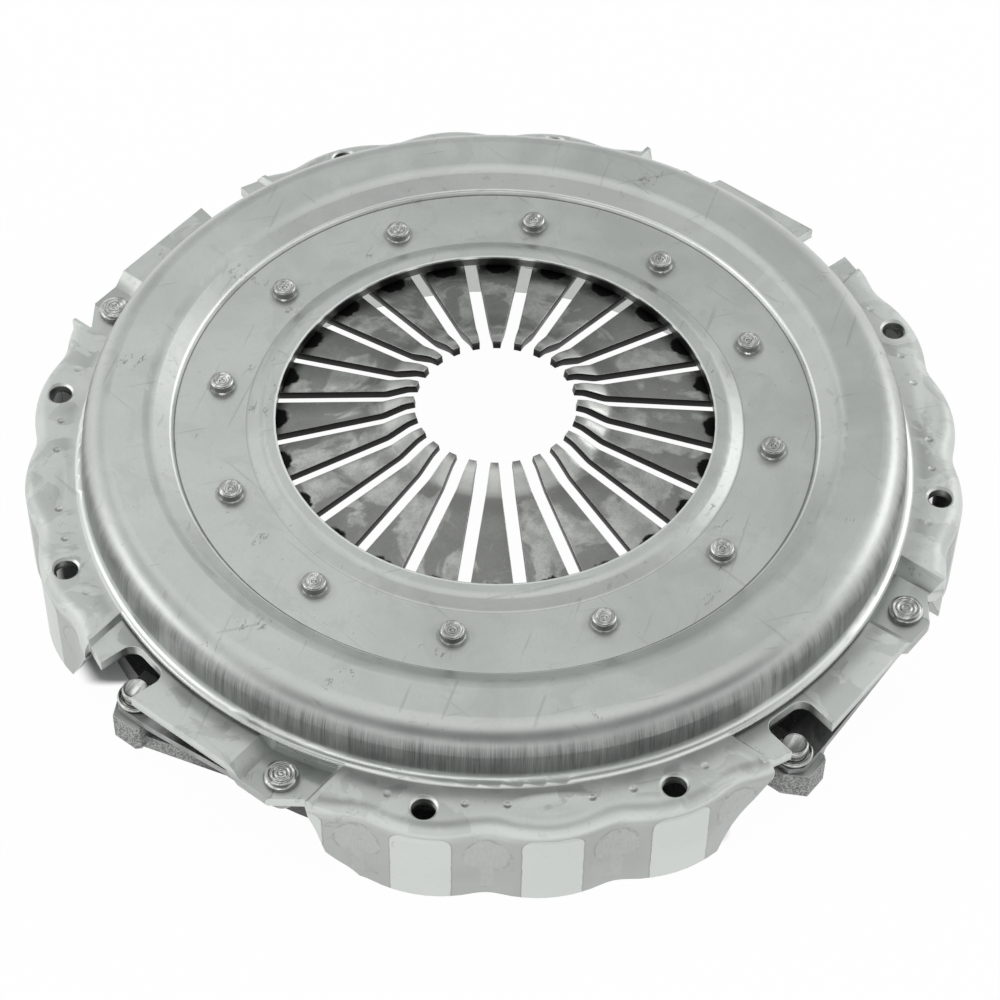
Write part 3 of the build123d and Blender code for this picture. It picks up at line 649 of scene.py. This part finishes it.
def strap_steel(groups, colour, softness):
    """Darker rolled spring strip."""
    material, w, shader = new_material("strap_steel_rolled")
    place = w.place()
    wear = w.shared(groups["wear"], Width=softness, Reach=4.0)
    rolled = w.noise(place, 340.0, 3.0, 0.6)
    patches = w.noise(place, 40.0, 3.0, 0.6)
    tone = w.mix(w.step(patches, 0.35, 0.65), scaled(colour, 0.75), scaled(colour, 1.2))
    tone = w.mix(w.times(rolled, 0.3), tone, scaled(colour, 0.6))
    tone = w.mix(w.times(wear["Wear"], 0.8), tone, scaled(colour, 1.9))
    w.put(shader["Base Color"], tone)
    shader["Metallic"].default_value = 1.0
    w.put(shader["Roughness"], w.step(rolled, 0.3, 0.7, 0.3, 0.42))
    w.put(shader["Normal"], w.relief(w.times(rolled, 0.04), 1.0, wear["Normal"]))
    return material


def cast_iron(groups, colour, softness):
    """Rough cast iron, ground on the lugs' tops and edges and on the friction face, with painted shade under
    the cover.
    """
    material, w, shader = new_material("iron_rough_cast")
    place = w.place()
    polar = w.shared(groups["polar"], Place=place)
    wear = w.shared(groups["wear"], Width=softness, Reach=3.0)
    upright = w.upward()
    coarse = w.noise(place, 1100.0, 3.0, 0.6)
    pits = w.noise(place, 300.0, 4.0, 0.6)
    at_lug_top = w.band(polar["Height"], LUG_TOP - 0.4, LUG_TOP + 0.4, 0.1)
    ground_top = w.times(w.step(upright, 0.9, 0.97), at_lug_top)
    ground_face = w.step(upright, -0.97, -0.99)
    ground_face = w.times(ground_face, w.step(polar["Height"], 2.5, 1.8))
    at_bore = w.step(polar["Radius"], PLATE_BORE_RADIUS + 0.6, PLATE_BORE_RADIUS + 0.3)
    turned_bore = w.times(at_bore, w.step(w.math("ABSOLUTE", upright), 0.5, 0.2))
    ground = w.either(w.either(ground_top, ground_face), turned_bore)
    turned = w.noise(w.joined(w.times(polar["Radius"], 0.35)), 18.0, 3.0)
    tone = w.mix(w.step(coarse, 0.36, 0.64), scaled(colour, 0.8), scaled(colour, 2.5))
    tone = w.mix(w.times(w.step(pits, 0.5, 0.7), 0.35), tone, scaled(colour, 0.6))
    # Painted shade on the plate under the cover, inward of its rim
    tone = w.mix(w.times(w.step(polar["Radius"], 208.0, 202.0), 0.85), tone, scaled(colour, 0.3))
    tone = w.mix(w.times(ground, 0.9), tone, w.mix(turned, scaled(colour, 2.5), scaled(colour, 3.4)))
    tone = w.mix(w.times(wear["Wear"], 0.6), tone, scaled(colour, 3.2))
    w.put(shader["Base Color"], tone)
    w.put(shader["Metallic"], w.step(ground, 0.0, 1.0, 0.55, 1.0))
    w.put(shader["Roughness"], w.minus(w.step(coarse, 0.3, 0.7, 0.62, 0.5), w.times(ground, 0.16)))
    bumps = w.plus(w.times(coarse, 0.22), w.times(pits, 0.35))
    high = w.times(bumps, w.step(ground, 0.0, 1.0, 1.0, 0.08))
    w.put(shader["Normal"], w.relief(high, 1.0, wear["Normal"]))
    return material


def finish_piece(shape, name, material, body, smooth_angle=35.0):
    """Turns a bmesh into a piece that rides on a body of the frame."""
    mesh = bpy.data.meshes.new(name)
    shape.normal_update()
    limit = math.radians(smooth_angle)
    for edge in shape.edges:
        edge.smooth = not (len(edge.link_faces) == 2 and edge.calc_face_angle(0.0) > limit)
    for face in shape.faces:
        face.smooth = True
    shape.to_mesh(mesh)
    shape.free()
    piece = bpy.data.objects.new(name, mesh)
    bpy.context.scene.collection.objects.link(piece)
    mesh.materials.append(material)
    if body is not None:
        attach(piece, body)
    return piece


def merged_copy(node):
    """Bmesh of a CAD node's shape with its loose triangles joined."""
    shape = bmesh.new()
    shape.from_mesh(frame["nodes"][node].data)
    bmesh.ops.remove_doubles(shape, verts=shape.verts, dist=1e-6)
    bmesh.ops.dissolve_degenerate(shape, edges=shape.edges, dist=1e-6)
    return shape


def break_edges(shape, width, angle=35.0, segments=2):
    """Bevels the sharp edges of a shape."""
    limit = math.radians(angle)
    sharp = [e for e in shape.edges if len(e.link_faces) == 2 and e.calc_face_angle(0.0) > limit]
    bmesh.ops.bevel(
        shape, geom=sharp, offset=width, offset_type="OFFSET", affect="EDGES", segments=segments,
        profile=0.5, material=-1, clamp_overlap=True,
    )


def turned_shape(profile, steps, edge):
    """Solid of revolution from pairs of radius and height in millimetres, that start and end on the axis."""
    shape = bmesh.new()
    line = [shape.verts.new((radius * MM, 0, height * MM)) for radius, height in profile]
    links = [shape.edges.new(pair) for pair in zip(line, line[1:])]
    bmesh.ops.spin(
        shape, geom=line + links, cent=(0, 0, 0), axis=(0, 0, 1), angle=math.tau, steps=steps, use_merge=True
    )
    bmesh.ops.remove_doubles(shape, verts=shape.verts, dist=1e-7)
    bmesh.ops.recalc_face_normals(shape, faces=shape.faces)
    break_edges(shape, edge * MM, 30.0)
    return shape


def at_polar(radius, angle):
    """Point in metres at a radius in millimetres and an angle in degrees."""
    turn = math.radians(angle)
    return Vector((radius * math.cos(turn), radius * math.sin(turn), 0)) * MM


class CLUTCH_OT_materials(bpy.types.Operator):
    """Makes the steels and the iron, and gives them to the frame's nodes"""

    bl_idname = "clutch.materials"
    bl_label = "Surfaces"

    def execute(self, context):
        sizes, colours = context.scene.clutch_sizes, context.scene.clutch_colours
        groups = make_groups()
        soft = sizes.edge_softness
        made = {
            "pressed_steel": cover_steel(groups, tuple(colours.cover), soft),
            "spring_steel": spring_steel(groups, tuple(colours.spring), soft),
            "rivet_steel": rivet_steel(groups, tuple(colours.rivet), soft / 2),
            "strap_steel": strap_steel(groups, tuple(colours.strap), soft / 3),
            "cast_iron": cast_iron(groups, tuple(colours.iron), soft),
        }
        made["wire_steel"] = made["strap_steel"]
        for node, piece in frame["nodes"].items():
            slots = [m["material_slot"] for m in frame["record"]["subparts"] if m["node"] == node]
            if not slots:
                raise RuntimeError(f"no material slot is recorded for {node}")
            piece.material_slots[0].material = made[slots[0]]
        return {"FINISHED"}


def made_material(name):
    """A material made by the surfaces operator."""
    found = bpy.data.materials.get(name)
    if found is None:
        raise RuntimeError(f"the material {name} is missing: make the surfaces first")
    return found


class CLUTCH_OT_spring(bpy.types.Operator):
    """Diaphragm spring with broken edges"""

    bl_idname = "clutch.spring"
    bl_label = "Diaphragm spring"

    def execute(self, context):
        shape = merged_copy("diaphragm_spring")
        break_edges(shape, context.scene.clutch_sizes.spring_edge)
        piece = finish_piece(shape, "spring_fingers", made_material("spring_steel_dark"), COVER_BODY)
        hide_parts("diaphragm_spring")
        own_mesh(piece)
        return {"FINISHED"}


class CLUTCH_OT_fulcrum_rivets(bpy.types.Operator):
    """Twelve stepped rivets round the spring, each with a ring and a dimple in its head"""

    bl_idname = "clutch.fulcrum_rivets"
    bl_label = "Fulcrum rivets"

    def execute(self, context):
        profile = [
            (0, 48.55), (9.6, 48.55), (10.0, 49.0), (10.0, 51.49), (5.0, 51.49), (5.0, 64.4), (4.0, 64.4),
            (4.0, 69.9), (6.2, 69.9), (5.6, 70.7), (5.5, 71.0), (5.5, 73.9), (4.9, 74.5), (3.6, 74.5),
            (3.2, 73.6), (2.3, 73.6), (2.0, 74.2), (1.4, 74.2), (0.9, 73.2), (0, 73.0),
        ]
        one = turned_shape(profile, context.scene.clutch_sizes.turning_steps, 0.18)
        first = bpy.data.meshes.new("fulcrum_rivet_once")
        one.to_mesh(first)
        one.free()
        shape = bmesh.new()
        for index in range(FULCRUM_RIVETS):
            spot = at_polar(FULCRUM_CIRCLE, FIRST_FULCRUM_RIVET + index * 360.0 / FULCRUM_RIVETS)
            first.transform(Matrix.Translation(spot))
            shape.from_mesh(first)
            first.transform(Matrix.Translation(-spot))
        bpy.data.meshes.remove(first)
        piece = finish_piece(shape, "stepped_rivets", made_material("rivet_steel_bright"), COVER_BODY)
        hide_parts("fulcrum_rivets")
        return {"FINISHED"}


class CLUTCH_OT_strap_rivets(bpy.types.Operator):
    """Rivets and collars at both ends of the four drive straps"""

    bl_idname = "clutch.strap_rivets"
    bl_label = "Strap rivets"

    def execute(self, context):
        steps = context.scene.clutch_sizes.turning_steps
        top = SEAT_HEIGHT + 4.0
        ringed = [
            (0, 28.6), (6.5, 28.6), (6.5, 31.6), (4.0, 31.6), (4.0, SEAT_HEIGHT), (7.8, SEAT_HEIGHT),
            (8.0, SEAT_HEIGHT + 0.5), (8.0, top - 1.5), (7.3, top - 0.6), (6.3, top), (5.7, top),
            (5.2, top - 0.5), (4.7, top - 0.5), (4.2, top), (3.7, top), (3.3, top - 0.5), (2.9, top - 0.5),
            (2.4, top), (1.7, top), (1.3, top - 0.5), (0.8, top - 0.5), (0, top - 0.1),
        ]
        stud = [
            (0, 9.0), (6.5, 9.0), (6.5, 12.0), (4.0, 12.0), (4.0, COLLAR_TOP), (6.2, COLLAR_TOP),
            (6.2, 34.2), (5.6, 35.0), (5.1, 35.0), (4.8, 34.7), (0, 34.6),
        ]
        collar = [
            (4.05, 27.1), (7.9, 27.1), (8.5, 27.7), (8.8, 28.7), (8.5, 29.6), (7.9, 30.0), (7.4, 29.7),
            (6.9, 29.4), (6.25, 29.4), (6.25, COLLAR_TOP), (4.05, COLLAR_TOP), (4.05, 27.1),
        ]
        for number, bay in BAY_ANGLES.items():
            for name, profile, turn, body, node in (
                ("ringed_rivet", ringed, STRAP_HALF_ANGLE, COVER_BODY, "cover_rivet"),
                ("lug_stud", stud, -STRAP_HALF_ANGLE, PLATE_BODY, "lug_rivet"),
                ("lug_sleeve", collar, -STRAP_HALF_ANGLE, PLATE_BODY, "lug_collar"),
            ):
                shape = turned_shape(profile, steps, 0.2)
                bmesh.ops.translate(shape, verts=shape.verts, vec=at_polar(STRAP_CIRCLE, bay + turn))
                piece = finish_piece(shape, f"{name}_{number}", made_material("rivet_steel_bright"), body)
                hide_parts(f"{node}_{number}")
        return {"FINISHED"}


class CLUTCH_OT_straps(bpy.types.Operator):
    """Three spring leaves in each of the four drive straps"""

    bl_idname = "clutch.straps"
    bl_label = "Drive straps"

    def execute(self, context):
        sizes = context.scene.clutch_sizes
        half_width = sizes.leaf_width / 2
        half_span = STRAP_CIRCLE * MM * math.sin(math.radians(STRAP_HALF_ANGLE))
        distance = STRAP_CIRCLE * MM * math.cos(math.radians(STRAP_HALF_ANGLE))
        flat = half_span - LEAF_STRAIGHT * MM
        for number, bay in BAY_ANGLES.items():
            turn = Matrix.Rotation(math.radians(bay), 4, "Z")
            for layer in range(1, 4):
                shape = bmesh.new()
                bmesh.ops.create_grid(shape, x_segments=64, y_segments=8, size=1.0)
                for vert in shape.verts:
                    along = vert.co.x * (half_span + half_width)
                    past = max(0.0, abs(along) - half_span)
                    reach = min(half_width, half_width * (1 + math.tan(math.pi / 8)) - past)
                    share = min(1.0, max(0.0, (along + flat) / (2 * flat)))
                    ease = share * share * (3 - 2 * share) * LEAF_EASE + share * (1 - LEAF_EASE)
                    low = STRAP_LOW * MM + (layer - 1) * sizes.leaf_thickness
                    rise = (STRAP_HIGH - STRAP_LOW) * MM * ease
                    vert.co = Vector((distance + vert.co.y * reach, along, low + rise))
                bmesh.ops.remove_doubles(shape, verts=shape.verts, dist=1e-7)
                bmesh.ops.recalc_face_normals(shape, faces=shape.faces)
                if sum(f.normal.z for f in shape.faces) > 0:
                    bmesh.ops.reverse_faces(shape, faces=shape.faces)
                raised = bmesh.ops.extrude_face_region(shape, geom=shape.faces[:], use_keep_orig=True)
                lifted = [g for g in raised["geom"] if isinstance(g, bmesh.types.BMVert)]
                bmesh.ops.translate(shape, verts=lifted, vec=(0, 0, sizes.leaf_thickness))
                bmesh.ops.recalc_face_normals(shape, faces=shape.faces)
                break_edges(shape, 0.0002, 50.0, 1)
                shape.transform(turn)
                steel = made_material("strap_steel_rolled")
                piece = finish_piece(shape, f"strap_leaf_{number}_{layer}", steel, None)
                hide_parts(f"strap_{number}_leaf_{layer}")
                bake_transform(piece)
        return {"FINISHED"}


class CLUTCH_OT_stage(bpy.types.Operator):
    """Pale floor, soft studio lamps and the camera"""

    bl_idname = "clutch.stage"
    bl_label = "Stage"

    def execute(self, context):
        scene = context.scene
        floor_shape = bmesh.new()
        bmesh.ops.create_grid(floor_shape, x_segments=1, y_segments=1, size=FLOOR_HALF_SIZE)
        material_floor = bpy.data.materials.new("pale_floor")
        material_floor.use_nodes = True
        w = Wiring(material_floor.node_tree)
        material_floor.node_tree.nodes.clear()
        diffuse = w.add("ShaderNodeBsdfDiffuse")
        w.put(diffuse.inputs["Color"], tuple(scene.clutch_colours.floor))
        glow = w.add("ShaderNodeEmission")
        glow.inputs["Strength"].default_value = 1.0
        path = w.add("ShaderNodeLightPath").outputs
        seen = w.either(path["Is Camera Ray"], w.either(path["Is Glossy Ray"], path["Is Transmission Ray"]))
        blend = w.add("ShaderNodeMixShader")
        # The floor keeps its shade in a ring right under the cover, less wide at the strap bays
        parts = w.add("ShaderNodeSeparateXYZ")
        w.put(parts.inputs[0], w.place())
        x, y = parts.outputs["X"], parts.outputs["Y"]
        radius = w.times(w.math("SQRT", w.plus(w.times(x, x), w.times(y, y))), 1000.0)
        angle = w.math("DEGREES", w.math("ARCTAN2", y, x))
        angle = w.math("WRAP", angle, SEGMENT_PITCH / 2, -SEGMENT_PITCH / 2)
        reach = w.step(w.math("ABSOLUTE", angle), 22.0, 27.0, 213.0, 190.0)
        under = w.times(w.step(radius, 164.0, 176.0), w.step(w.minus(radius, reach), 5.0, -5.0))
        w.put(blend.inputs[0], w.times(seen, w.minus(0.98, under)))
        w.put(blend.inputs[1], diffuse.outputs[0])
        w.put(blend.inputs[2], glow.outputs[0])
        # Seen from below it is clear
        clear = w.add("ShaderNodeBsdfTransparent")
        below = w.add("ShaderNodeMixShader")
        w.put(below.inputs[0], w.add("ShaderNodeNewGeometry").outputs["Backfacing"])
        w.put(below.inputs[1], blend.outputs[0])
        w.put(below.inputs[2], clear.outputs[0])
        out = w.add("ShaderNodeOutputMaterial")
        w.put(out.inputs["Surface"], below.outputs[0])
        floor = finish_piece(floor_shape, "floor", material_floor, None)

        world = bpy.data.worlds.new("studio")
        scene.world = world
        world.use_nodes = True
        w = Wiring(world.node_tree)
        world.node_tree.nodes.clear()
        ray = w.add("ShaderNodeSeparateXYZ")
        w.put(ray.inputs[0], w.add("ShaderNodeTexCoord").outputs["Generated"])
        side, depth, up = ray.outputs
        # Pale room with a white ceiling, light walls low at the sides and a dim end
        shade = w.mix(w.step(up, -0.05, 0.05), ROOM_BELOW, ROOM_WALLS)
        shade = w.mix(w.step(up, 0.74, 0.97), shade, ROOM_CEILING)
        low = w.times(w.step(up, -0.05, 0.12), w.step(up, 0.76, 0.52))
        sideways = w.step(w.math("ABSOLUTE", side), 0.25, 0.62)
        shade = w.mix(w.times(low, sideways), shade, ROOM_SIDES)
        above = w.times(w.step(up, 0.36, 0.6), w.step(up, 0.97, 0.86))
        dim = w.times(w.step(depth, -0.1, -0.4), above)
        shade = w.mix(w.times(dim, 0.9), shade, ROOM_DIM_END)
        sky = w.add("ShaderNodeBackground")
        w.put(sky.inputs["Color"], shade)
        out = w.add("ShaderNodeOutputWorld")
        w.put(out.inputs["Surface"], sky.outputs[0])

        for name, place, width, height, power in LAMPS:
            data = bpy.data.lights.new(name, "AREA")
            data.shape = "RECTANGLE"
            data.size, data.size_y, data.energy = width, height, power
            lamp = bpy.data.objects.new(name, data)
            scene.collection.objects.link(lamp)
            lamp.location = place
            lamp.rotation_euler = (Vector(LAMP_TARGET) - Vector(place)).to_track_quat("-Z", "Y").to_euler()

        elevation = math.radians(CAMERA_ELEVATION)
        roll = math.radians(CAMERA_ROLL)
        turn = math.radians(CAMERA_TURN)
        level = Matrix((
            (1, 0, 0),
            (0, math.sin(elevation), math.cos(elevation)),
            (0, -math.cos(elevation), math.sin(elevation)),
        ))
        axes = Matrix.Rotation(roll, 3, "Z") @ level @ Matrix.Rotation(turn, 3, "Z")
        data = bpy.data.cameras.new("camera")
        data.sensor_fit = "HORIZONTAL"
        data.sensor_width = CAMERA_SENSOR
        data.lens = CAMERA_LENS
        camera = bpy.data.objects.new("camera", data)
        scene.collection.objects.link(camera)
        camera.matrix_world = Matrix.Translation(CAMERA_PLACE) @ axes.transposed().to_4x4()
        scene.camera = camera
        scene.view_settings.view_transform = "Standard"
        return {"FINISHED"}


class CLUTCH_PT_panel(bpy.types.Panel):
    """Sizes, colours and steps of the clutch"""

    bl_label = "Clutch pressure plate"
    bl_idname = "CLUTCH_PT_panel"
    bl_space_type = "VIEW_3D"
    bl_region_type = "UI"
    bl_category = "Clutch"

    def draw(self, context):
        for group in (context.scene.clutch_sizes, context.scene.clutch_colours):
            for name in group.__annotations__:
                self.layout.prop(group, name)
        for operator in OPERATORS:
            self.layout.operator(operator.bl_idname)


OPERATORS = (
    CLUTCH_OT_materials,
    CLUTCH_OT_spring,
    CLUTCH_OT_fulcrum_rivets,
    CLUTCH_OT_strap_rivets,
    CLUTCH_OT_straps,
    CLUTCH_OT_stage,
)
CLASSES = (ClutchSizes, ClutchColours, *OPERATORS, CLUTCH_PT_panel)


def register():
    for item in CLASSES:
        bpy.utils.register_class(item)
    bpy.types.Scene.clutch_sizes = PointerProperty(type=ClutchSizes)
    bpy.types.Scene.clutch_colours = PointerProperty(type=ClutchColours)


def unregister():
    del bpy.types.Scene.clutch_colours
    del bpy.types.Scene.clutch_sizes
    for item in reversed(CLASSES):
        bpy.utils.unregister_class(item)


def main():
    register()
    bpy.ops.clutch.materials()
    bpy.ops.clutch.spring()
    bpy.ops.clutch.fulcrum_rivets()
    bpy.ops.clutch.strap_rivets()
    bpy.ops.clutch.straps()
    bpy.ops.clutch.stage()


if __name__ == "__main__":
    main()
